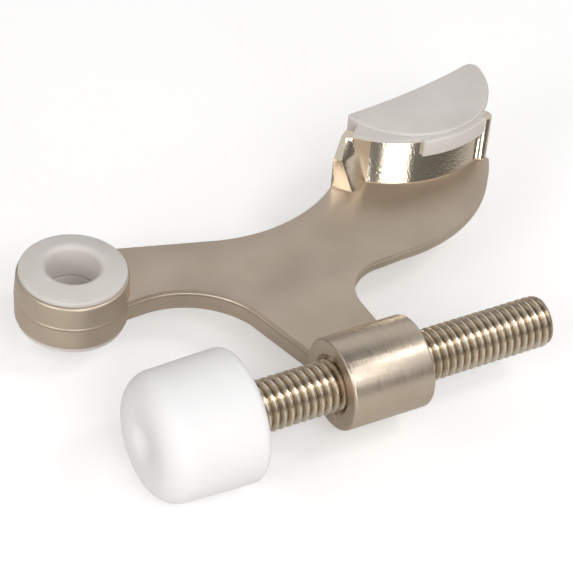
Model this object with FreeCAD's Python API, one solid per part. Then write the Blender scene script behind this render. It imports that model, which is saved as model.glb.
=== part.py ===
"""Adjustable hinge-pin door stop: a die-cast arm that hangs on a hinge pin, with a screw-adjusted bumper.

Frame: origin at the centre of the ring eye, +Z up along the hinge pin, +X along the adjusting rod away
from its bumper, +Y towards the side of the door pad. Millimetres.
"""

import FreeCAD, Part
import math
import os
from FreeCAD import Vector

# --- driving dimensions -------------------------------------------------------------------------------
PIN_BORE_RADIUS = 4.1          # for hinge pins up to 8 mm (5/16 in)

RING_RADIUS = 8.75             # at the parting line, half way up
RING_EDGE_RADIUS = 8.55        # at the two ends: casting draft
RING_HALF_HEIGHT = 4.0
RING_EDGE_ROUND = 0.5
RING_HOLE_RADIUS = 5.45

SLEEVE_RADIUS = 5.4            # the part of a bushing that sits in the ring's hole
SLEEVE_GAP = 0.2               # between the two sleeves, at mid height
FLANGE_RADIUS = 8.2
FLANGE_EDGE_HEIGHT = 0.8
CROWN_RISE = 0.7               # the flange climbs this much from its edge to the mouth of the bore
MOUTH_ROUND = 0.7              # rounding from the crown into the bore

WEB_HALF_THICKNESS = 0.95      # the flat plate, centred on the parting plane
RIB_DEPTH = 1.7                # stiffening rib under the front edge, from ring to barrel

THREAD_MAJOR_RADIUS = 3.975    # M8 x 1.25
THREAD_MINOR_RADIUS = 3.25
THREAD_PITCH = 1.25
THREAD_CLEARANCE = 0.08        # between the rod and the thread cut in the barrel
THREAD_OVERCUT = 0.12          # a groove is cut this much past the surface it opens on
ROD_Y = -33.8
ROD_FRONT_X = 0.0
ROD_BACK_X = 62.4
ROD_SPIGOT_LENGTH = 9.4        # unthreaded front end that the tip is pushed on
ROD_END_ROUND = 1.0

BARREL_RADIUS = 7.1
BARREL_FRONT_X = 25.7
BARREL_BACK_X = 39.4
BARREL_EDGE_ROUND = 0.45
BARREL_MOUTH_RADIUS = 4.75     # countersink at each end of the threaded bore
BARREL_MOUTH_DEPTH = 0.9

TIP_FRONT_X = -5.3
TIP_BACK_X = 10.6
TIP_FRONT_RADIUS = 9.9
TIP_BACK_RADIUS = 10.2
TIP_FRONT_ROUND = 4.0
TIP_BACK_ROUND = 1.3
DIMPLE_RADIUS = 2.8
DIMPLE_DEPTH = 1.4
SPIGOT_CLEARANCE = 0.05        # between the rod's plain end and the tip's socket

WALL_CENTRE = Vector(65.0, 20.0, 0.0)
WALL_RADIUS = 18.6             # front face of the head wall
WALL_THICKNESS = 2.2
WALL_HALF_HEIGHT = 9.0
WALL_LEFT_DEG = 224.0
WALL_RIGHT_DEG = 302.0
END_BEAD_RADIUS = 1.15         # rounded upright bead at the wall's free end
END_BEAD_DEG = 300.2

PAD_CENTRE = Vector(66.0, 15.2, 0.0)
PAD_RADIUS = 13.6
PAD_HALF_HEIGHT = 10.1
PAD_LEFT_CORNER = Vector(52.9, 11.5, 0.0)
PAD_HOLLOW = Vector(66.1, 13.1, 0.0)        # deepest point of the slightly hollow door face
PAD_RIGHT_CORNER = Vector(79.55, 16.4, 0.0)
PAD_LEFT_ROUND = 0.8
PAD_RIGHT_ROUND = 1.5
PAD_EDGE_ROUND = 0.3
PAD_CLEARANCE = 0.06           # all round the head wall
LIP_INNER_RADIUS = 15.4
LIP_HEIGHT = 9.7               # the ledge that caps the head wall
LIP_LEFT_DEG = 224.5
LIP_RIGHT_DEG = 300.0
CLIP_THICKNESS = 0.9           # the tongue that hooks over the front of the head wall
CLIP_LEFT_DEG = 259.0
CLIP_RIGHT_DEG = 296.2         # it stops at the end bead
CLIP_BOTTOM = 6.7
CLIP_EDGE_ROUND = 0.3

UP = Vector(0, 0, 1)
ALONG_ROD = Vector(1, 0, 0)
ORIGIN = Vector(0, 0, 0)
ROD_AXIS_POINT = Vector(0, ROD_Y, 0)


# --- geometry helpers ---------------------------------------------------------------------------------
def polar(centre, radius, degrees, z=0.0):
    angle = math.radians(degrees)
    return Vector(centre.x + radius * math.cos(angle), centre.y + radius * math.sin(angle), z)


def line(start, end):
    return Part.LineSegment(start, end).toShape()


def arc(start, middle, end):
    return Part.Arc(start, middle, end).toShape()


def slab(edges, low, high):
    """A prism on a closed flat outline, between two heights."""
    face = Part.Face(Part.Wire(edges))
    face.translate(UP * low)
    return face.extrude(UP * (high - low))


def disc(centre, radius, low, high):
    return Part.makeCylinder(radius, high - low, centre + UP * low, UP)


def turned_on_rod_axis(profile):
    """A solid turned about the rod's axis from (x, radius) corners."""
    corners = [ROD_AXIS_POINT + Vector(x, 0, radius) for x, radius in profile]
    face = Part.Face(Part.makePolygon(corners + [corners[0]]))
    return face.revolve(ROD_AXIS_POINT, ALONG_ROD, 360)


def arc_strip(inner, outer, start, end, low, high):
    """A stretch of curved wall about the head wall's centre."""
    middle = 0.5 * (start + end)
    edges = [
        arc(*[polar(WALL_CENTRE, outer, degrees) for degrees in (start, middle, end)]),
        line(polar(WALL_CENTRE, outer, end), polar(WALL_CENTRE, inner, end)),
        arc(*[polar(WALL_CENTRE, inner, degrees) for degrees in (end, middle, start)]),
        line(polar(WALL_CENTRE, inner, start), polar(WALL_CENTRE, outer, start)),
    ]
    return slab(edges, low, high)


def with_mirror_twin(shape):
    """The shape and its twin below the parting plane."""
    return [shape, shape.mirror(ORIGIN, UP)]


def union(shapes):
    """One closed solid from overlapping ones."""
    joined = shapes[0].multiFuse(shapes[1:]).removeSplitter()
    assert len(joined.Solids) == 1, len(joined.Solids)
    assert joined.isValid()
    return joined.Solids[0]


def cut(shape, tools):
    result = shape
    for tool in tools:
        result = result.cut(tool)
    assert len(result.Solids) == 1, len(result.Solids)
    assert result.isValid()
    return result.Solids[0]


def is_round_edge(edge, radius, tolerance=0.01):
    curve = edge.Curve
    return isinstance(curve, Part.Circle) and abs(curve.Radius - radius) < tolerance


def rounded(shape, size, wanted):
    return shape.makeFillet(size, [edge for edge in shape.Edges if wanted(edge)])


# --- thread -------------------------------------------------------------------------------------------
def helical_cutter(inner, outer, half_inner, half_outer, start_x, end_x):
    """A trapezoid swept along a right-hand helix about the rod's axis."""
    helix = Part.makeLongHelix(THREAD_PITCH, end_x - start_x, inner, 0.0, False)
    corners = [
        Vector(inner, 0, -half_inner),
        Vector(outer, 0, -half_outer),
        Vector(outer, 0, half_outer),
        Vector(inner, 0, half_inner),
    ]
    outline = Part.makePolygon(corners + [corners[0]])
    sweep = Part.Wire(helix.Edges).makePipeShell([outline], True, True)
    if sweep.Volume < 0:
        sweep.reverse()
    sweep.rotate(ORIGIN, Vector(0, 1, 0), 90)
    sweep.translate(ROD_AXIS_POINT + ALONG_ROD * start_x)
    return sweep


THREAD_FLANK = math.tan(math.radians(30))
THREAD_DEPTH = THREAD_MAJOR_RADIUS - THREAD_MINOR_RADIUS
ROOT_HALF_WIDTH = THREAD_PITCH / 16
MOUTH_HALF_WIDTH = ROOT_HALF_WIDTH + THREAD_DEPTH * THREAD_FLANK
THREAD_START_X = ROD_FRONT_X + ROD_SPIGOT_LENGTH
THREAD_PHASE_X = THREAD_START_X - 2 * THREAD_PITCH


def rod_groove():
    """The groove of the rod's external thread."""
    return helical_cutter(
        THREAD_MINOR_RADIUS,
        THREAD_MAJOR_RADIUS + THREAD_OVERCUT,
        ROOT_HALF_WIDTH,
        MOUTH_HALF_WIDTH + THREAD_OVERCUT * THREAD_FLANK,
        THREAD_PHASE_X,
        ROD_BACK_X + 2 * THREAD_PITCH,
    )


def barrel_groove():
    """The groove of the barrel's internal thread: room for the rod's ridge, half a pitch from its groove."""
    inner = THREAD_MINOR_RADIUS + THREAD_CLEARANCE - THREAD_OVERCUT
    outer = THREAD_MAJOR_RADIUS + THREAD_CLEARANCE
    ridge_half_at_inner = THREAD_PITCH / 2 - ROOT_HALF_WIDTH + (THREAD_MINOR_RADIUS - inner) * THREAD_FLANK
    ridge_half_at_outer = ridge_half_at_inner - (outer - inner) * THREAD_FLANK
    side_clearance = THREAD_CLEARANCE / math.cos(math.radians(30))
    widest = THREAD_PITCH / 2 - 0.01
    turns_before = math.floor((BARREL_FRONT_X - THREAD_PHASE_X) / THREAD_PITCH) - 1
    start = THREAD_PHASE_X + (turns_before - 0.5) * THREAD_PITCH
    return helical_cutter(
        inner,
        outer,
        min(ridge_half_at_inner + side_clearance, widest),
        ridge_half_at_outer + side_clearance,
        start,
        BARREL_BACK_X + 2 * THREAD_PITCH,
    )


# --- threaded rod -------------------------------------------------------------------------------------
def build_threaded_rod():
    spigot = THREAD_MINOR_RADIUS
    lead_in = 0.6
    blank = turned_on_rod_axis([
        (ROD_FRONT_X, 0),
        (ROD_FRONT_X, spigot - lead_in),
        (ROD_FRONT_X + lead_in, spigot),
        (THREAD_START_X, spigot),
        (THREAD_START_X + THREAD_DEPTH, THREAD_MAJOR_RADIUS),
        (ROD_BACK_X - ROD_END_ROUND, THREAD_MAJOR_RADIUS),
        (ROD_BACK_X - 0.3 * ROD_END_ROUND, THREAD_MAJOR_RADIUS - 0.3 * ROD_END_ROUND),
        (ROD_BACK_X, THREAD_MAJOR_RADIUS - ROD_END_ROUND),
        (ROD_BACK_X, 0),
    ])
    return cut(blank, [rod_groove()])


# --- bumper tip ---------------------------------------------------------------------------------------
def build_bumper_tip():
    outside = turned_on_rod_axis([
        (TIP_FRONT_X, 0),
        (TIP_FRONT_X, TIP_FRONT_RADIUS),
        (TIP_BACK_X, TIP_BACK_RADIUS),
        (TIP_BACK_X, 0),
    ])
    outside = rounded(outside, TIP_FRONT_ROUND, lambda edge: is_round_edge(edge, TIP_FRONT_RADIUS))
    outside = rounded(outside, TIP_BACK_ROUND, lambda edge: is_round_edge(edge, TIP_BACK_RADIUS))
    spigot_socket = THREAD_MINOR_RADIUS + SPIGOT_CLEARANCE
    thread_socket = THREAD_MAJOR_RADIUS + SPIGOT_CLEARANCE
    socket = turned_on_rod_axis([
        (ROD_FRONT_X - SPIGOT_CLEARANCE, 0),
        (ROD_FRONT_X - SPIGOT_CLEARANCE, spigot_socket),
        (THREAD_START_X - SPIGOT_CLEARANCE, spigot_socket),
        (THREAD_START_X + THREAD_DEPTH - SPIGOT_CLEARANCE, thread_socket),
        (TIP_BACK_X + 1, thread_socket),
        (TIP_BACK_X + 1, 0),
    ])
    sphere_radius = (DIMPLE_RADIUS ** 2 + DIMPLE_DEPTH ** 2) / (2 * DIMPLE_DEPTH)
    dimple_centre = ROD_AXIS_POINT + ALONG_ROD * (TIP_FRONT_X + DIMPLE_DEPTH - sphere_radius)
    dimple = Part.makeSphere(sphere_radius, dimple_centre)
    return cut(outside, [socket, dimple])


# --- bushings -----------------------------------------------------------------------------------------
def build_upper_bushing():
    """Sleeve, flange and a crown that rises to the rounded mouth of the pin's bore."""
    seat = RING_HALF_HEIGHT
    edge_top = seat + FLANGE_EDGE_HEIGHT
    crest = edge_top + CROWN_RISE
    edge_round = 0.3
    crest_radius = PIN_BORE_RADIUS + MOUTH_ROUND
    diagonal = MOUTH_ROUND * (1 - math.sqrt(0.5))
    corners = [
        Vector(crest_radius, 0, crest),
        Vector(FLANGE_RADIUS - edge_round, 0, edge_top),
        Vector(FLANGE_RADIUS, 0, edge_top - edge_round),
        Vector(FLANGE_RADIUS, 0, seat),
        Vector(SLEEVE_RADIUS, 0, seat),
        Vector(SLEEVE_RADIUS, 0, SLEEVE_GAP / 2),
        Vector(PIN_BORE_RADIUS, 0, SLEEVE_GAP / 2),
        Vector(PIN_BORE_RADIUS, 0, crest - MOUTH_ROUND),
    ]
    edges = [line(start, end) for start, end in zip(corners, corners[1:])]
    mouth_middle = Vector(PIN_BORE_RADIUS + diagonal, 0, crest - diagonal)
    edges.append(arc(corners[-1], mouth_middle, corners[0]))
    return Part.Face(Part.Wire(edges)).revolve(ORIGIN, UP, 360)


# --- body casting -------------------------------------------------------------------------------------
def build_ring():
    profile = Part.makePolygon([
        Vector(0, 0, -RING_HALF_HEIGHT),
        Vector(RING_EDGE_RADIUS, 0, -RING_HALF_HEIGHT),
        Vector(RING_RADIUS, 0, 0),
        Vector(RING_EDGE_RADIUS, 0, RING_HALF_HEIGHT),
        Vector(0, 0, RING_HALF_HEIGHT),
        Vector(0, 0, -RING_HALF_HEIGHT),
    ])
    ring = Part.Face(profile).revolve(ORIGIN, UP, 360)
    return rounded(ring, RING_EDGE_ROUND, lambda edge: is_round_edge(edge, RING_EDGE_RADIUS))


def front_edge():
    """The front edge of the plate: from the ring, round the wide hollow bend, down to the barrel."""
    ring_end = Vector(4.0, -6.3, 0)
    bend_start = Vector(9.5, -6.0, 0)
    bend_middle = Vector(18.3, -8.7, 0)
    bend_end = Vector(22.8, -14.6, 0)
    barrel_end = Vector(26.3, -28.0, 0)
    return [
        line(ring_end, bend_start),
        arc(bend_start, bend_middle, bend_end),
        line(bend_end, barrel_end),
    ]


def build_web():
    """The flat plate that joins ring, barrel and head."""
    barrel_right = Vector(38.6, -28.0, 0)
    notch_start = Vector(38.5, -20.6, 0)
    notch_middle = Vector(40.7, -15.0, 0)
    notch_end = Vector(46.8, -12.5, 0)
    heel_start = Vector(51.0, -12.1, 0)
    heel_middle = Vector(64.9, -8.4, 0)
    head_right = Vector(75.45, 2.6, 0)
    wall_right = polar(WALL_CENTRE, WALL_RADIUS - 1.0, WALL_RIGHT_DEG - 1)
    wall_middle = polar(WALL_CENTRE, WALL_RADIUS - 1.0, 263)
    wall_left = polar(WALL_CENTRE, WALL_RADIUS - 1.0, WALL_LEFT_DEG + 1)
    head_left = Vector(48.2, 6.2, 0)
    crown_middle = Vector(36.0, 0.85, 0)
    crown_start = Vector(24.0, 1.75, 0)
    ring_back = Vector(2.4, 8.0, 0)
    ring_inside = Vector(4.0, 0, 0)
    front = front_edge()
    outline = front + [
        line(front[-1].Vertexes[-1].Point, barrel_right),
        line(barrel_right, notch_start),
        arc(notch_start, notch_middle, notch_end),
        line(notch_end, heel_start),
        arc(heel_start, heel_middle, head_right),
        line(head_right, wall_right),
        arc(wall_right, wall_middle, wall_left),
        line(wall_left, head_left),
        arc(head_left, crown_middle, crown_start),
        line(crown_start, ring_back),
        line(ring_back, ring_inside),
        line(ring_inside, front[0].Vertexes[0].Point),
    ]
    return slab(outline, -WEB_HALF_THICKNESS, WEB_HALF_THICKNESS)


def build_rib():
    """The rib below the plate, along its front edge."""
    front = front_edge()
    barrel_inner = Vector(31.4, -28.0, 0)
    bend_inner_end = Vector(27.6, -13.3, 0)
    bend_inner_middle = Vector(21.7, -5.1, 0)
    bend_inner_start = Vector(9.8, -1.2, 0)
    ring_inner = Vector(4.0, -1.5, 0)
    outline = front + [
        line(front[-1].Vertexes[-1].Point, barrel_inner),
        line(barrel_inner, bend_inner_end),
        arc(bend_inner_end, bend_inner_middle, bend_inner_start),
        line(bend_inner_start, ring_inner),
        line(ring_inner, front[0].Vertexes[0].Point),
    ]
    return slab(outline, -WEB_HALF_THICKNESS - RIB_DEPTH, 0)


def build_barrel():
    length = BARREL_BACK_X - BARREL_FRONT_X
    barrel = Part.makeCylinder(BARREL_RADIUS, length, ROD_AXIS_POINT + ALONG_ROD * BARREL_FRONT_X, ALONG_ROD)
    return rounded(barrel, BARREL_EDGE_ROUND, lambda edge: is_round_edge(edge, BARREL_RADIUS))


def build_gusset():
    """The faceted buttress at the head wall's closed end: five-sided, narrowing away from the plate."""
    foot = [(48.2, 6.2), (50.8, 3.0), (54.1, 4.9), (55.0, 6.7), (51.2, 9.2)]
    knee = [(48.2, 6.4), (49.3, 5.6), (52.5, 6.0), (53.6, 7.5), (51.2, 9.2)]
    crest = [(50.4, 8.1), (50.8, 7.4), (51.7, 6.95), (53.0, 8.2), (51.8, 9.2)]
    knee_height = 6.2
    wires = []
    for corners, height in ((foot, 0.0), (knee, knee_height), (crest, WALL_HALF_HEIGHT)):
        points = [Vector(x, y, height) for x, y in corners]
        wires.append(Part.makePolygon(points + [points[0]]))
    lower = Part.makeLoft(wires[:2], True, True)
    upper = Part.makeLoft(wires[1:], True, True)
    return with_mirror_twin(lower) + with_mirror_twin(upper)


def build_head_wall():
    wall = arc_strip(
        WALL_RADIUS - WALL_THICKNESS,
        WALL_RADIUS,
        WALL_LEFT_DEG,
        WALL_RIGHT_DEG,
        -WALL_HALF_HEIGHT,
        WALL_HALF_HEIGHT,
    )
    bead_centre = polar(WALL_CENTRE, WALL_RADIUS, END_BEAD_DEG)
    bead = disc(bead_centre, END_BEAD_RADIUS, -WALL_HALF_HEIGHT, WALL_HALF_HEIGHT)
    return [wall, bead]


def build_body_casting():
    pieces = [build_ring(), build_web(), build_rib(), build_barrel()]
    casting = union(pieces + build_head_wall() + build_gusset())
    bore_radius = THREAD_MINOR_RADIUS + THREAD_CLEARANCE
    depth = BARREL_MOUTH_DEPTH
    bore = turned_on_rod_axis([
        (BARREL_FRONT_X - 1, 0),
        (BARREL_FRONT_X - 1, BARREL_MOUTH_RADIUS + 1),
        (BARREL_FRONT_X, BARREL_MOUTH_RADIUS),
        (BARREL_FRONT_X + depth, THREAD_MAJOR_RADIUS + THREAD_CLEARANCE),
        (BARREL_FRONT_X + depth + THREAD_DEPTH, bore_radius),
        (BARREL_BACK_X - depth - THREAD_DEPTH, bore_radius),
        (BARREL_BACK_X - depth, THREAD_MAJOR_RADIUS + THREAD_CLEARANCE),
        (BARREL_BACK_X, BARREL_MOUTH_RADIUS),
        (BARREL_BACK_X + 1, BARREL_MOUTH_RADIUS + 1),
        (BARREL_BACK_X + 1, 0),
    ])
    ring_hole = disc(ORIGIN, RING_HOLE_RADIUS, -RING_HALF_HEIGHT - 1, RING_HALF_HEIGHT + 1)
    return cut(casting, [ring_hole, bore, barrel_groove()])


# --- door pad -----------------------------------------------------------------------------------------
def pad_outline():
    front = polar(PAD_CENTRE, PAD_RADIUS, 270)
    return [
        arc(PAD_LEFT_CORNER, front, PAD_RIGHT_CORNER),
        arc(PAD_RIGHT_CORNER, PAD_HOLLOW, PAD_LEFT_CORNER),
    ]


def build_door_pad():
    """A D-shaped cap over the head wall: its hollow side rests on the door, two tongues clip on the wall."""
    block = slab(pad_outline(), -PAD_HALF_HEIGHT, PAD_HALF_HEIGHT)
    for corner, size in ((PAD_LEFT_CORNER, PAD_LEFT_ROUND), (PAD_RIGHT_CORNER, PAD_RIGHT_ROUND)):
        block = rounded(block, size, lambda edge: edge.CenterOfMass.distanceToPoint(corner) < 0.01)
    block = rounded(block, PAD_EDGE_ROUND, lambda edge: abs(edge.CenterOfMass.z) > PAD_HALF_HEIGHT - 0.01)
    slot_half = WALL_HALF_HEIGHT + PAD_CLEARANCE
    behind_wall = WALL_RADIUS - WALL_THICKNESS - PAD_CLEARANCE
    clear_of_wall = disc(WALL_CENTRE, 2 * WALL_RADIUS, -slot_half, slot_half)
    clear_of_wall = clear_of_wall.cut(disc(WALL_CENTRE, behind_wall, -slot_half, slot_half))
    body = block.cut(clear_of_wall)
    clip_inner = WALL_RADIUS + PAD_CLEARANCE
    lip = arc_strip(LIP_INNER_RADIUS, clip_inner + 0.01, LIP_LEFT_DEG, LIP_RIGHT_DEG, slot_half, LIP_HEIGHT)
    clip_outer = clip_inner + CLIP_THICKNESS
    clip = arc_strip(clip_inner, clip_outer, CLIP_LEFT_DEG, CLIP_RIGHT_DEG, CLIP_BOTTOM, LIP_HEIGHT)
    clip = rounded(clip, CLIP_EDGE_ROUND, lambda edge: is_round_edge(edge, clip_outer))
    pad = union([body] + with_mirror_twin(lip) + with_mirror_twin(clip))
    return cut(pad, build_gusset())


# --- files --------------------------------------------------------------------------------------------
upper_bushing = build_upper_bushing()
NODES = {
    "body_casting": build_body_casting(),
    "upper_bushing": upper_bushing,
    "lower_bushing": upper_bushing.mirror(ORIGIN, UP),
    "door_pad": build_door_pad(),
    "threaded_rod": build_threaded_rod(),
    "bumper_tip": build_bumper_tip(),
}

os.makedirs("parts", exist_ok=True)
for name, shape in NODES.items():
    solid = shape.Solids[0]
    assert solid.isValid(), name
    assert solid.Volume > 0, name
    solid.exportStep("parts/" + name + ".step")
    print(name, round(solid.Volume, 1), "mm3")
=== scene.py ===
import bmesh
import bpy
from math import cos, radians, sin, sqrt
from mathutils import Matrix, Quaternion, Vector


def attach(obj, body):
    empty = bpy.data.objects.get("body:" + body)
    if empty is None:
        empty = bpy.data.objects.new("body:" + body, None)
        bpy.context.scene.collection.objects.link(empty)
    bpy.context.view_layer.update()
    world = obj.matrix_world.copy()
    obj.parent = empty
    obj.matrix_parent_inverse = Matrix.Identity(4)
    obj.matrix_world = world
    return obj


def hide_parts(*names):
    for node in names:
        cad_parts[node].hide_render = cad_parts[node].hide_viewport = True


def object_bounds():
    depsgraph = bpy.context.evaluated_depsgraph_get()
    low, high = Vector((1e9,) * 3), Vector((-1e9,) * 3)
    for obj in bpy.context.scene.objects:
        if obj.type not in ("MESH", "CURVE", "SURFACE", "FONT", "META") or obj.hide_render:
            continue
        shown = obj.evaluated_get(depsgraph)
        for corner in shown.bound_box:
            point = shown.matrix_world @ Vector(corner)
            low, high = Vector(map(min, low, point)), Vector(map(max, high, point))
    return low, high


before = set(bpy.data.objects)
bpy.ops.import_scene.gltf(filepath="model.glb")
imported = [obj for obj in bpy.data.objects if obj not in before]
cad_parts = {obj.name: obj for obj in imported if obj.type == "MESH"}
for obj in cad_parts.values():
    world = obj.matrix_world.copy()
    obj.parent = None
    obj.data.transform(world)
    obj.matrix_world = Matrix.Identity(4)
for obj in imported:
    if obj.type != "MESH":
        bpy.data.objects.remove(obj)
cad_low, cad_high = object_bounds()
bpy.ops.object.select_all(action="DESELECT")

# ----------------------------------------------------------------------------------------------
# The studio: a pale floor that the stop lies on, resting on its bumper and its door pad, and
# four soft lights: one high on the right, one on the left and two in front, one of them low.
# The air is dark near the ground and overhead and pale between, so that the metal shows its form.
# ----------------------------------------------------------------------------------------------
camera_data = bpy.data.cameras.new("studio_camera")
camera_data.sensor_width = 36.0
camera_data.lens = 186.3
camera_data.clip_start = 0.01
camera = bpy.data.objects.new("studio_camera", camera_data)
bpy.context.scene.collection.objects.link(camera)
bpy.context.scene.camera = camera
camera_turn, camera_height, camera_roll = radians(32.7), radians(39.75), radians(5.98)
camera_distance = 0.4498
camera_looks_at = Vector((0.03048, -0.01156, 0.0))
camera_looks_along = Vector((
    sin(camera_turn) * cos(camera_height),
    cos(camera_turn) * cos(camera_height),
    -sin(camera_height),
))
camera.location = camera_looks_at - camera_distance * camera_looks_along
camera.rotation_mode = "QUATERNION"
level_camera = camera_looks_along.to_track_quat("-Z", "Y")
camera.rotation_quaternion = level_camera @ Quaternion((0, 0, 1), camera_roll)

floor_gap = 0.0001
bpy.ops.mesh.primitive_plane_add(size=3.0, location=(0.03, -0.01, cad_low.z - floor_gap))
studio_floor = bpy.context.object
studio_floor.name = "studio_floor"
floor_paint = bpy.data.materials.new("studio_floor_paint")
floor_paint.use_nodes = True
floor_tree = floor_paint.node_tree
floor_shader = floor_tree.nodes["Principled BSDF"]
floor_shader.inputs["Base Color"].default_value = (0.86, 0.86, 0.86, 1)
floor_shader.inputs["Roughness"].default_value = 1.0
floor_shader.inputs["Specular IOR Level"].default_value = 0.0
floor_shader.inputs["Emission Color"].default_value = (1, 1, 1, 1)
floor_shader.inputs["Emission Strength"].default_value = 0.35
floor_as_mirrored = floor_tree.nodes.new("ShaderNodeBsdfDiffuse")
floor_as_mirrored.inputs["Color"].default_value = (0.76, 0.74, 0.71, 1)
floor_seen = floor_tree.nodes.new("ShaderNodeLightPath")
floor_choice = floor_tree.nodes.new("ShaderNodeMixShader")
floor_tree.links.new(floor_seen.outputs["Is Camera Ray"], floor_choice.inputs["Fac"])
floor_tree.links.new(floor_as_mirrored.outputs["BSDF"], floor_choice.inputs[1])
floor_tree.links.new(floor_shader.outputs["BSDF"], floor_choice.inputs[2])
floor_side = floor_tree.nodes.new("ShaderNodeNewGeometry")
floor_from_below = floor_tree.nodes.new("ShaderNodeBsdfTransparent")
floor_finish = floor_tree.nodes.new("ShaderNodeMixShader")
floor_tree.links.new(floor_side.outputs["Backfacing"], floor_finish.inputs["Fac"])
floor_tree.links.new(floor_choice.outputs["Shader"], floor_finish.inputs[1])
floor_tree.links.new(floor_from_below.outputs["BSDF"], floor_finish.inputs[2])
floor_tree.links.new(
    floor_finish.outputs["Shader"], floor_tree.nodes["Material Output"].inputs["Surface"]
)
studio_floor.data.materials.append(floor_paint)


def hang_softbox(name, place, width, depth, power):
    """A rectangular soft light that faces the stop."""
    softbox_data = bpy.data.lights.new(name, "AREA")
    softbox_data.shape = "RECTANGLE"
    softbox_data.size = width
    softbox_data.size_y = depth
    softbox_data.energy = power
    softbox = bpy.data.objects.new(name, softbox_data)
    softbox.location = place
    softbox.rotation_mode = "QUATERNION"
    softbox.rotation_quaternion = (camera_looks_at - Vector(place)).to_track_quat("-Z", "Y")
    bpy.context.scene.collection.objects.link(softbox)


hang_softbox("softbox_over", (0.28, -0.24, 0.50), 0.13, 0.13, 0.42)
hang_softbox("softbox_left", (-0.55, -0.25, 0.30), 0.26, 0.26, 1.0)
hang_softbox("softbox_front", (-0.02, -0.46, 0.42), 0.30, 0.20, 0.7)
hang_softbox("softbox_low", (-0.09, -0.60, 0.11), 0.20, 0.22, 0.60)

studio_air = bpy.data.worlds.new("studio_air")
bpy.context.scene.world = studio_air
studio_air.use_nodes = True
air_tree = studio_air.node_tree
air_direction = air_tree.nodes.new("ShaderNodeTexCoord")
air_height = air_tree.nodes.new("ShaderNodeSeparateXYZ")
air_bands = air_tree.nodes.new("ShaderNodeValToRGB")
air_bands.color_ramp.elements[0].position = 0.0
air_bands.color_ramp.elements[0].color = (0.13, 0.115, 0.10, 1)
air_bands.color_ramp.elements[1].position = 1.0
air_bands.color_ramp.elements[1].color = (0.10, 0.097, 0.093, 1)
for height, shade in ((0.18, 0.16), (0.46, 0.68), (0.83, 0.70), (0.89, 0.12)):
    band = air_bands.color_ramp.elements.new(height)
    band.color = (shade, 0.985 * shade, 0.965 * shade, 1)
air_tree.links.new(air_direction.outputs["Generated"], air_height.inputs[0])
air_tree.links.new(air_height.outputs["Z"], air_bands.inputs["Fac"])
air_seen = air_tree.nodes.new("ShaderNodeLightPath")
air_choice = air_tree.nodes.new("ShaderNodeMix")
air_choice.data_type = "RGBA"
air_choice.inputs[7].default_value = (0.93, 0.93, 0.925, 1)
air_tree.links.new(air_seen.outputs["Is Camera Ray"], air_choice.inputs[0])
air_tree.links.new(air_bands.outputs["Color"], air_choice.inputs[6])
air_tree.links.new(air_choice.outputs[2], air_tree.nodes["Background"].inputs["Color"])
bpy.context.scene.view_settings.view_transform = "Standard"

# ----------------------------------------------------------------------------------------------
# The arm: one zinc die casting - eye ring, flat plate with a rib, tapped barrel and curved head
# wall - plated in satin nickel. The plate is bead-blasted, the barrel is turned and brushed
# round, and the head wall keeps the bright, slightly rippled skin of the mould.
# ----------------------------------------------------------------------------------------------
rod_line = Vector((0.0, -0.0338, 0.0))
eye_hole_radius = 0.0058
barrel_hole_radius = 0.0052
joined_within, level_from = 0.000002, 0.9999
flat_within, sharp_corner, smooth_under = radians(0.3), radians(28), radians(38)
edge_softening = 0.00022


def take_whole_mesh(name, node):
    """A copy of a solid's mesh with its triangles joined up and its level faces in one piece each."""
    piece = bpy.data.objects.new(name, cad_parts[node].data.copy())
    bpy.context.scene.collection.objects.link(piece)
    bpy.ops.object.select_all(action="DESELECT")
    bpy.context.view_layer.objects.active = piece
    piece.select_set(True)
    bpy.ops.mesh.customdata_custom_splitnormals_clear()
    bpy.ops.object.mode_set(mode="EDIT")
    bpy.ops.mesh.select_all(action="SELECT")
    bpy.ops.mesh.remove_doubles(threshold=joined_within)
    bpy.ops.mesh.select_all(action="DESELECT")
    shell = bmesh.from_edit_mesh(piece.data)
    for face in shell.faces:
        face.select_set(abs(face.normal.z) > level_from)
    shell.select_flush(False)
    bmesh.update_edit_mesh(piece.data)
    bpy.ops.mesh.dissolve_limited(angle_limit=flat_within, delimit={"NORMAL"})
    bpy.ops.mesh.select_all(action="DESELECT")
    return piece


def smooth_and_release(piece):
    bpy.ops.object.mode_set(mode="OBJECT")
    bpy.ops.object.shade_smooth_by_angle(angle=smooth_under)
    piece.select_set(False)


arm = take_whole_mesh("cast_arm", "body_casting")
bpy.ops.mesh.select_mode(type="EDGE")
arm_mesh = bmesh.from_edit_mesh(arm.data)
for edge in arm_mesh.edges:
    middle = (edge.verts[0].co + edge.verts[1].co) / 2
    from_rod = sqrt((middle.y - rod_line.y) ** 2 + middle.z ** 2)
    from_pin = sqrt(middle.x ** 2 + middle.y ** 2)
    outside = from_rod > barrel_hole_radius and from_pin > eye_hole_radius
    is_corner = len(edge.link_faces) == 2 and edge.calc_face_angle() > sharp_corner
    edge.select_set(outside and is_corner)
bmesh.update_edit_mesh(arm.data)
bpy.ops.mesh.bevel(offset=edge_softening, segments=3, affect="EDGES", clamp_overlap=True)
smooth_and_release(arm)


def add_node(tree, kind, **settings):
    """A shader node with its settings; a setting named like an input sets that input."""
    node = tree.nodes.new(kind)
    for name, value in settings.items():
        if name in node.bl_rna.properties:
            setattr(node, name, value)
        else:
            node.inputs[name].default_value = value
    return node


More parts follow.
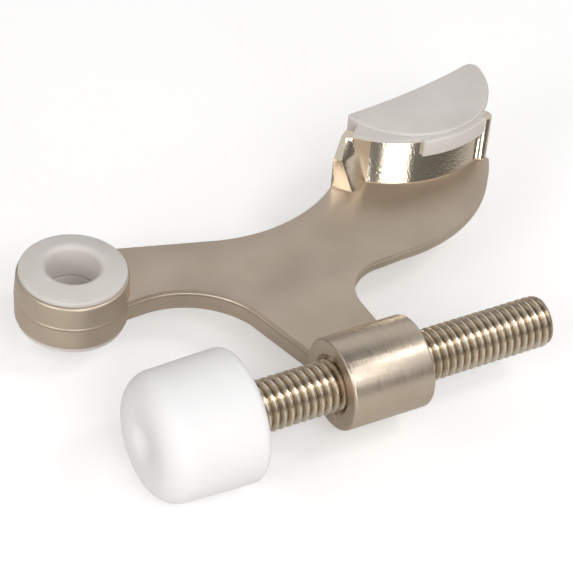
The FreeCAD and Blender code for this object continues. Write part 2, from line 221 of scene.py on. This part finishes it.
def make_grain_group():
    """Grain of a finished surface: a fine fleck, drawn out along any axis, and a slow drift of tone."""
    group = bpy.data.node_groups.new("surface_grain", "ShaderNodeTree")
    sides = (
        ("Place", "NodeSocketVector", "INPUT"),
        ("Stretch", "NodeSocketVector", "INPUT"),
        ("Fineness", "NodeSocketFloat", "INPUT"),
        ("Fleck", "NodeSocketFloat", "OUTPUT"),
        ("Drift", "NodeSocketFloat", "OUTPUT"),
    )
    for name, kind, side in sides:
        group.interface.new_socket(name=name, in_out=side, socket_type=kind)
    entry = add_node(group, "NodeGroupInput")
    leave = add_node(group, "NodeGroupOutput")
    drawn = add_node(group, "ShaderNodeVectorMath", operation="MULTIPLY")
    fine = add_node(group, "ShaderNodeTexNoise", Detail=3.0, Roughness=0.65)
    slow = add_node(group, "ShaderNodeTexNoise", Scale=110.0, Detail=2.0, Roughness=0.5)
    group.links.new(entry.outputs["Place"], drawn.inputs[0])
    group.links.new(entry.outputs["Stretch"], drawn.inputs[1])
    group.links.new(drawn.outputs["Vector"], fine.inputs["Vector"])
    group.links.new(entry.outputs["Fineness"], fine.inputs["Scale"])
    group.links.new(entry.outputs["Place"], slow.inputs["Vector"])
    group.links.new(fine.outputs["Fac"], leave.inputs["Fleck"])
    group.links.new(slow.outputs["Fac"], leave.inputs["Drift"])
    return group


grain = make_grain_group()


def lay_grain(tree, place, fineness, stretch=(1, 1, 1)):
    node = add_node(tree, "ShaderNodeGroup", node_tree=grain)
    node.inputs["Fineness"].default_value = fineness
    node.inputs["Stretch"].default_value = stretch
    tree.links.new(place, node.inputs["Place"])
    return node


def spread(tree, value, low, high):
    """Takes a noise value, which stays near the middle, to the range from low to high."""
    node = add_node(tree, "ShaderNodeMapRange")
    node.inputs["From Min"].default_value = 0.3
    node.inputs["From Max"].default_value = 0.7
    node.inputs["To Min"].default_value = low
    node.inputs["To Max"].default_value = high
    tree.links.new(value, node.inputs["Value"])
    return node.outputs["Result"]


def reckon(tree, operation, first, second):
    """One step of arithmetic on two numbers, each a plain value or a socket."""
    node = add_node(tree, "ShaderNodeMath", operation=operation)
    for socket, value in zip(node.inputs, (first, second)):
        if isinstance(value, (int, float)):
            socket.default_value = value
        else:
            tree.links.new(value, socket)
    return node.outputs[0]


def apply_relief(tree, shader, height, strength, depth):
    """Raises the surface by a changing height, up to the depth, and returns the node that does it."""
    relief = add_node(tree, "ShaderNodeBump", Strength=strength, Distance=depth)
    tree.links.new(height, relief.inputs["Height"])
    tree.links.new(relief.outputs["Normal"], shader.inputs["Normal"])
    return relief


def blend_values(tree, mask, outside, inside):
    node = add_node(tree, "ShaderNodeMix", data_type="FLOAT")
    tree.links.new(mask, node.inputs[0])
    tree.links.new(outside, node.inputs[2])
    tree.links.new(inside, node.inputs[3])
    return node.outputs[0]


def blend_colours(tree, mask, outside, inside):
    node = add_node(tree, "ShaderNodeMix", data_type="RGBA")
    tree.links.new(mask, node.inputs[0])
    for socket, colour in ((node.inputs[6], outside), (node.inputs[7], inside)):
        if isinstance(colour, tuple):
            socket.default_value = (*colour, 1)
        else:
            tree.links.new(colour, socket)
    return node.outputs[2]


def start_finish(name):
    """A new material, with its nodes, its shader and the place on the piece."""
    finish = bpy.data.materials.new(name)
    finish.use_nodes = True
    on_piece = add_node(finish.node_tree, "ShaderNodeTexCoord").outputs["Object"]
    return finish, finish.node_tree, finish.node_tree.nodes["Principled BSDF"], on_piece


def take_apart(tree, place):
    """The place on the piece, with its X, Y and Z apart."""
    node = add_node(tree, "ShaderNodeSeparateXYZ")
    tree.links.new(place, node.inputs[0])
    return node


plate_face = 0.00112
gusset_start_x, wall_start_x, heel_y = 0.0460, 0.0540, -0.0020
barrel_side_y = -0.0267
plate_dark, plate_light, wall_bright = (0.64, 0.545, 0.445), (0.72, 0.62, 0.515), (0.82, 0.73, 0.60)
wall_draft = -0.30

nickel, tree, nickel_shader, place = start_finish("satin_nickel")
nickel_shader.inputs["Metallic"].default_value = 1.0
apart = take_apart(tree, place)
off_parting = reckon(tree, "ABSOLUTE", apart.outputs["Z"], 0)
above_plate = reckon(tree, "GREATER_THAN", off_parting, plate_face)
beyond_neck = reckon(tree, "GREATER_THAN", apart.outputs["X"], gusset_start_x)
behind_heel = reckon(tree, "GREATER_THAN", apart.outputs["Y"], heel_y)
on_head_wall = reckon(tree, "MULTIPLY", above_plate, reckon(tree, "MULTIPLY", beyond_neck, behind_heel))
on_barrel = reckon(tree, "LESS_THAN", apart.outputs["Y"], barrel_side_y)
blasted = lay_grain(tree, place, 5200.0)
turned = lay_grain(tree, place, 7600.0, (1.0, 0.05, 0.05))
rippled = lay_grain(tree, place, 2400.0)
plate_tone = blend_colours(
    tree, spread(tree, blasted.outputs["Drift"], 0.0, 1.0), plate_dark, plate_light
)
nickel_tone = blend_colours(tree, on_head_wall, plate_tone, wall_bright)
tree.links.new(nickel_tone, nickel_shader.inputs["Base Color"])
plate_roughness = spread(tree, blasted.outputs["Fleck"], 0.40, 0.50)
barrel_roughness = spread(tree, turned.outputs["Fleck"], 0.24, 0.42)
wall_roughness = spread(tree, rippled.outputs["Drift"], 0.05, 0.13)
satin_roughness = blend_values(tree, on_barrel, plate_roughness, barrel_roughness)
tree.links.new(
    blend_values(tree, on_head_wall, satin_roughness, wall_roughness), nickel_shader.inputs["Roughness"]
)
satin_height = blend_values(
    tree,
    on_barrel,
    spread(tree, blasted.outputs["Fleck"], 0.0, 0.12),
    spread(tree, turned.outputs["Fleck"], 0.0, 0.24),
)
ripple_height = spread(tree, rippled.outputs["Fleck"], 0.0, 0.34)
skin_height = blend_values(tree, on_head_wall, satin_height, ripple_height)
seam = add_node(tree, "ShaderNodeMapRange", interpolation_type="SMOOTHSTEP")
seam.inputs["From Min"].default_value = 0.00005
seam.inputs["From Max"].default_value = 0.00030
seam.inputs["To Min"].default_value = 4.0
seam.inputs["To Max"].default_value = 0.0
tree.links.new(off_parting, seam.inputs["Value"])
off_barrel = reckon(tree, "SUBTRACT", 1.0, on_barrel)
mould_seam = reckon(tree, "MULTIPLY", seam.outputs["Result"], off_barrel)
# The head wall stands upright in its mesh; only its shading leans back, as a drafted wall's would.
above_wall_foot = reckon(tree, "SUBTRACT", off_parting, plate_face)
wall_setback = reckon(tree, "MULTIPLY", above_wall_foot, wall_draft)
past_gusset = reckon(tree, "GREATER_THAN", apart.outputs["X"], wall_start_x)
leaning = reckon(tree, "MULTIPLY", on_head_wall, past_gusset)
wall_lean = add_node(tree, "ShaderNodeBump", Strength=1.0, Distance=1.0)
tree.links.new(reckon(tree, "MULTIPLY", wall_setback, leaning), wall_lean.inputs["Height"])
nickel_height = reckon(tree, "ADD", skin_height, mould_seam)
nickel_relief = apply_relief(tree, nickel_shader, nickel_height, 0.55, 0.00006)
tree.links.new(wall_lean.outputs["Normal"], nickel_relief.inputs["Normal"])
arm.data.materials.clear()
arm.data.materials.append(nickel)
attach(arm, "arm")
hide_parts("body_casting")

# ----------------------------------------------------------------------------------------------
# The threaded rod: steel stud with a rolled M8 thread and a plain end inside the bumper,
# nickel plated bright. It screws through the barrel.
# ----------------------------------------------------------------------------------------------
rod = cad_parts["threaded_rod"]
thread_root, thread_crest = 0.00330, 0.00392
# Painted light: the thread's roots are painted dark as painted shade, and its crests light as a painted
# highlight.
painted_root_shade, painted_crest_highlight = (0.46, 0.375, 0.28), (0.90, 0.82, 0.70)
bright_steel, tree, steel_shader, place = start_finish("bright_nickel_thread")
steel_shader.inputs["Metallic"].default_value = 1.0
apart = take_apart(tree, place)
across = reckon(tree, "SUBTRACT", apart.outputs["Y"], rod_line.y)
radius_squared = reckon(
    tree, "ADD", reckon(tree, "POWER", across, 2.0), reckon(tree, "POWER", apart.outputs["Z"], 2.0)
)
from_axis = reckon(tree, "SQRT", radius_squared, 0)
crest = add_node(tree, "ShaderNodeMapRange")
crest.inputs["From Min"].default_value = thread_root
crest.inputs["From Max"].default_value = thread_crest
tree.links.new(from_axis, crest.inputs["Value"])
rolled = lay_grain(tree, place, 3000.0, (1.0, 0.15, 0.15))
# How much painted highlight each point gets: full on the crests, none in the roots, varied a little at
# random.
painted_light_on_crests = reckon(tree, "MULTIPLY", crest.outputs["Result"], spread(tree, rolled.outputs["Drift"], 0.7, 1.0))
thread_painted_light_tone = blend_colours(tree, painted_light_on_crests, painted_root_shade, painted_crest_highlight)
tree.links.new(thread_painted_light_tone, steel_shader.inputs["Base Color"])
tree.links.new(spread(tree, rolled.outputs["Fleck"], 0.20, 0.32), steel_shader.inputs["Roughness"])
apply_relief(tree, steel_shader, rolled.outputs["Fleck"], 0.35, 0.00004)
rod.data.materials.clear()
rod.data.materials.append(bright_steel)

# ----------------------------------------------------------------------------------------------
# The two bushings: moulded from milky nylon and pressed into the eye from above and below.
# Each has a broad flange that rises a little to the rounded mouth of the pin's hole.
# ----------------------------------------------------------------------------------------------


def turn_on_lathe(name, profile, steps=96):
    """Turns (radius, height) steps into a shell about Z that is open at its rims: each step is extruded
    and scaled.
    """
    bpy.ops.object.select_all(action="DESELECT")
    radius, height = profile[0]
    bpy.ops.mesh.primitive_circle_add(vertices=steps, radius=radius, location=(0, 0, height))
    piece = bpy.context.object
    piece.name = name
    bpy.ops.object.mode_set(mode="EDIT")
    bpy.ops.mesh.select_all(action="SELECT")
    for next_radius, next_height in profile[1:]:
        rise = {"value": (0, 0, next_height - height)}
        bpy.ops.mesh.extrude_region_move(TRANSFORM_OT_translate=rise)
        grow = next_radius / radius
        bpy.ops.transform.resize(value=(grow, grow, 1), center_override=(0, 0, next_height))
        radius, height = next_radius, next_height
    bpy.ops.object.mode_set(mode="OBJECT")
    bpy.ops.object.transform_apply(location=True, rotation=True, scale=True)
    return piece


def close_shell(piece, command):
    """Joins or fills the open rims that turning leaves, and points all faces outwards."""
    bpy.ops.object.mode_set(mode="EDIT")
    bpy.ops.mesh.select_mode(type="EDGE")
    bpy.ops.mesh.select_all(action="DESELECT")
    bpy.ops.mesh.select_non_manifold()
    command()
    bpy.ops.mesh.select_all(action="SELECT")
    bpy.ops.mesh.normals_make_consistent(inside=False)
    bpy.ops.object.mode_set(mode="OBJECT")


def soften(piece, width, segments):
    """Rounds the corners that are sharper than 25 degrees and shades the turned faces smooth."""
    rounding = piece.modifiers.new("rounding", "BEVEL")
    rounding.width = width
    rounding.segments = segments
    rounding.limit_method = "ANGLE"
    rounding.angle_limit = radians(25)
    bpy.ops.object.modifier_apply(modifier=rounding.name)
    bpy.ops.object.shade_smooth_by_angle(angle=radians(40))


pin_hole, sleeve_radius, flange_radius = 0.0041, 0.0054, 0.0082
flange_seat, flange_edge, mouth_crest = 0.0040, 0.0048, 0.0055
bushing_profile = (
    (pin_hole, 0.0001),
    (sleeve_radius, 0.0001),
    (sleeve_radius, flange_seat),
    (flange_radius, flange_seat),
    (flange_radius, flange_edge - 0.0001),
    (flange_radius - 0.0002, flange_edge),
    (0.0072, 0.00500),
    (0.0062, 0.00524),
    (0.0054, 0.00542),
    (0.0049, mouth_crest),
    (0.0046, 0.00544),
    (0.00428, 0.00520),
    (0.00413, 0.00490),
    (pin_hole, 0.0045),
)


def dress_moulding(tree, shader, grained, dark, light, smooth, rough):
    """Spreads a moulded piece's tone and its roughness over its grain."""
    tone = blend_colours(tree, spread(tree, grained.outputs["Drift"], 0.0, 1.0), dark, light)
    tree.links.new(tone, shader.inputs["Base Color"])
    tree.links.new(spread(tree, grained.outputs["Fleck"], smooth, rough), shader.inputs["Roughness"])


nylon_dark, nylon_light = (0.71, 0.665, 0.63), (0.78, 0.745, 0.715)
nylon, tree, nylon_shader, place = start_finish("milky_nylon")
nylon_shader.inputs["Subsurface Weight"].default_value = 0.35
nylon_shader.inputs["Subsurface Radius"].default_value = (1.0, 0.85, 0.7)
nylon_shader.inputs["Subsurface Scale"].default_value = 0.0012
nylon_shader.inputs["IOR"].default_value = 1.5
moulded = lay_grain(tree, place, 2600.0)
dress_moulding(tree, nylon_shader, moulded, nylon_dark, nylon_light, 0.34, 0.50)
apply_relief(tree, nylon_shader, moulded.outputs["Fleck"], 0.25, 0.00004)

for node, side in (("upper_bushing", 1), ("lower_bushing", -1)):
    profile = [(radius, side * height) for radius, height in bushing_profile]
    bushing = turn_on_lathe("nylon_" + node, profile)
    close_shell(bushing, bpy.ops.mesh.bridge_edge_loops)
    soften(bushing, 0.00012, 3)
    bushing.data.materials.append(nylon)
    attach(bushing, "arm")
    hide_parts(node)

# ----------------------------------------------------------------------------------------------
# The door pad: a D-shaped cap of soft milky plastic, pushed over the head wall and held by a
# tongue above and below. Its slightly hollow side rests on the door.
# ----------------------------------------------------------------------------------------------
pad = take_whole_mesh("clip_on_door_pad", "door_pad")
smooth_and_release(pad)
pad_plastic = nylon.copy()
pad_plastic.name = "milky_pad_plastic"
pad.data.materials.clear()
pad.data.materials.append(pad_plastic)
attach(pad, "arm")
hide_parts("door_pad")

# ----------------------------------------------------------------------------------------------
# The bumper: a white rubber tip pushed on the plain end of the rod. It has a well rounded
# front with a dimple in the middle, and widens a little towards its flat back.
# ----------------------------------------------------------------------------------------------
tip_front, tip_back = -0.0053, 0.0106
front_radius, back_radius, front_round, back_round = 0.0099, 0.0102, 0.0040, 0.0013
dimple_radius, dimple_depth = 0.0028, 0.0014
socket_radius, socket_floor = 0.00405, -0.0001

bumper_profile = [(0.0002, tip_front + dimple_depth)]
for step in range(1, 6):
    reach = step / 6
    bumper_profile.append((dimple_radius * reach, tip_front + dimple_depth * (1 - reach ** 2)))
bumper_profile.append((dimple_radius, tip_front + 0.00012))
bumper_profile.append((dimple_radius + 0.0004, tip_front))
for step in range(13):
    turn = radians(7.5 * step)
    bumper_profile.append((
        front_radius - front_round + front_round * sin(turn),
        tip_front + front_round - front_round * cos(turn),
    ))
for step in range(1, 6):
    reach = step / 6
    straight = tip_back - back_round - tip_front - front_round
    bumper_profile.append((
        front_radius + (back_radius - front_radius) * reach,
        tip_front + front_round + straight * reach,
    ))
for step in range(9):
    turn = radians(11.25 * step)
    bumper_profile.append((
        back_radius - back_round + back_round * cos(turn),
        tip_back - back_round + back_round * sin(turn),
    ))
bumper_profile.append((socket_radius + 0.0005, tip_back))
bumper_profile.append((socket_radius, tip_back - 0.0003))
bumper_profile.append((socket_radius, socket_floor))

bumper = turn_on_lathe("rubber_bumper", bumper_profile, 128)
close_shell(bumper, bpy.ops.mesh.edge_face_add)
bumper.rotation_euler = (0, radians(90), 0)
bumper.location = rod_line
bpy.ops.object.transform_apply(location=True, rotation=True, scale=True)
bpy.ops.object.shade_smooth_by_angle(angle=radians(40))

rubber_dark, rubber_light = (0.95, 0.95, 0.96), (0.985, 0.985, 0.985)
rubber, tree, rubber_shader, place = start_finish("white_rubber")
rubber_shader.inputs["Subsurface Weight"].default_value = 0.2
rubber_shader.inputs["Subsurface Radius"].default_value = (1.0, 1.0, 1.0)
rubber_shader.inputs["Subsurface Scale"].default_value = 0.001
powdery = lay_grain(tree, place, 3400.0)
dress_moulding(tree, rubber_shader, powdery, rubber_dark, rubber_light, 0.48, 0.66)
apply_relief(tree, rubber_shader, powdery.outputs["Fleck"], 0.3, 0.00005)
bumper.data.materials.append(rubber)
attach(bumper, "tip")
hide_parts("bumper_tip")
